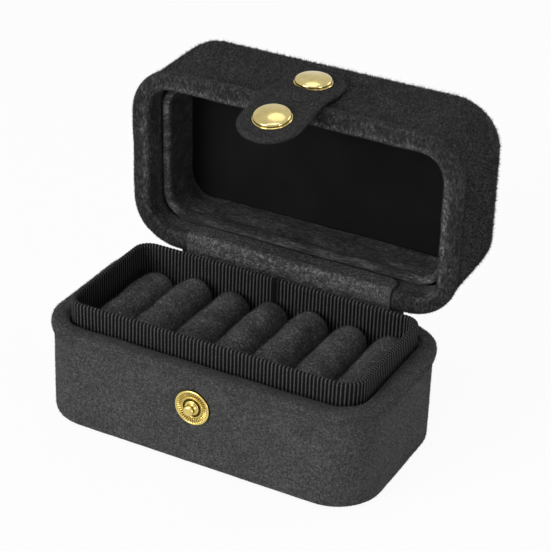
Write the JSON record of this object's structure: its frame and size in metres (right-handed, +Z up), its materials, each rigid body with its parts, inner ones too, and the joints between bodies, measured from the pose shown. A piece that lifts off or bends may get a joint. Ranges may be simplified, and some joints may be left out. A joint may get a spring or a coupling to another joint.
{
  "type": "travel ring box",
  "caption": "Velvet travel ring box: hinged lid, ribbon-bound collar, tray of padded ring rolls and a strap that snaps onto a stud on the front.",
  "frame": {"origin": "centre of the underside, where the box stands", "axes": "+X along the length to the right, -Y to the front with the stud, +Z up; the lid stands open"},
  "size_m": [0.106, 0.0893, 0.0952],
  "materials": {
    "case_velvet": "charcoal velvet, short pile",
    "roll_velvet": "charcoal velvet, short pile",
    "ribbon": "black ribbed grosgrain",
    "ceiling_cloth": "black flocked board, matt",
    "panel_cloth": "black short-pile cloth",
    "foam": "dark grey foam, matt",
    "board": "black card, matt",
    "moulded_shell": "black moulded plastic, satin",
    "gold_metal": "polished gold plate",
    "spring_steel": "bright wire"
  },
  "bodies": {
    "base": {"base_cover": "case_velvet", "base_shell": "moulded_shell", "base_rim_padding": "foam", "base_panel": "panel_cloth", "collar_core": "board", "collar_ribbon": "ribbon", "insert_pad": "foam", "insert_board": "board", "ring_roll_1": "roll_velvet", "ring_roll_2": "roll_velvet", "ring_roll_3": "roll_velvet", "ring_roll_4": "roll_velvet", "ring_roll_5": "roll_velvet", "ring_roll_6": "roll_velvet", "ring_roll_7": "roll_velvet", "ring_roll_core_1": "foam", "ring_roll_core_2": "foam", "ring_roll_core_3": "foam", "ring_roll_core_4": "foam", "ring_roll_core_5": "foam", "ring_roll_core_6": "foam", "ring_roll_core_7": "foam", "snap_stud": "gold_metal", "stud_washer": "gold_metal", "hinge_cloth": "case_velvet", "hinge_strip": "case_velvet"},
    "lid": {"lid_cover": "case_velvet", "lid_shell": "moulded_shell", "lid_rim_padding": "foam", "lid_liner": "board", "lid_lining": "case_velvet", "lid_ceiling_panel": "ceiling_cloth", "strap_root_face": "case_velvet", "strap_root_core": "board", "strap_root_lining": "case_velvet", "strap_rivet": "gold_metal", "rivet_washer": "gold_metal"},
    "fold": {"strap_fold": "case_velvet"},
    "strap": {"strap_tongue_face": "case_velvet", "strap_tongue_core": "board", "strap_tongue_lining": "case_velvet", "snap_cap": "gold_metal", "snap_socket": "gold_metal", "snap_spring": "spring_steel"}
  },
  "joints": [
    {"name": "lid_hinge", "type": "hinge", "parent": "base", "child": "lid", "pos_m": [0, 0.029, 0.0335], "axis": [-1, 0, 0], "range_deg": [-88.2, 0], "deforming": ["hinge_cloth", "hinge_strip"]},
    {"name": "strap_droop", "type": "hinge", "parent": "lid", "child": "fold", "pos_m": [0, 0.02493, 0.0928], "axis": [-1, 0, 0], "range_deg": [0, 10]},
    {"name": "strap_flex", "type": "hinge", "parent": "fold", "child": "strap", "pos_m": [0, 0.02102, 0.09198], "axis": [-1, 0, 0], "range_deg": [0, 90]}
  ],
  "couplings": [
    {"joint": "strap_droop", "follows": "lid_hinge", "ratio": -0.11337}
  ]
}
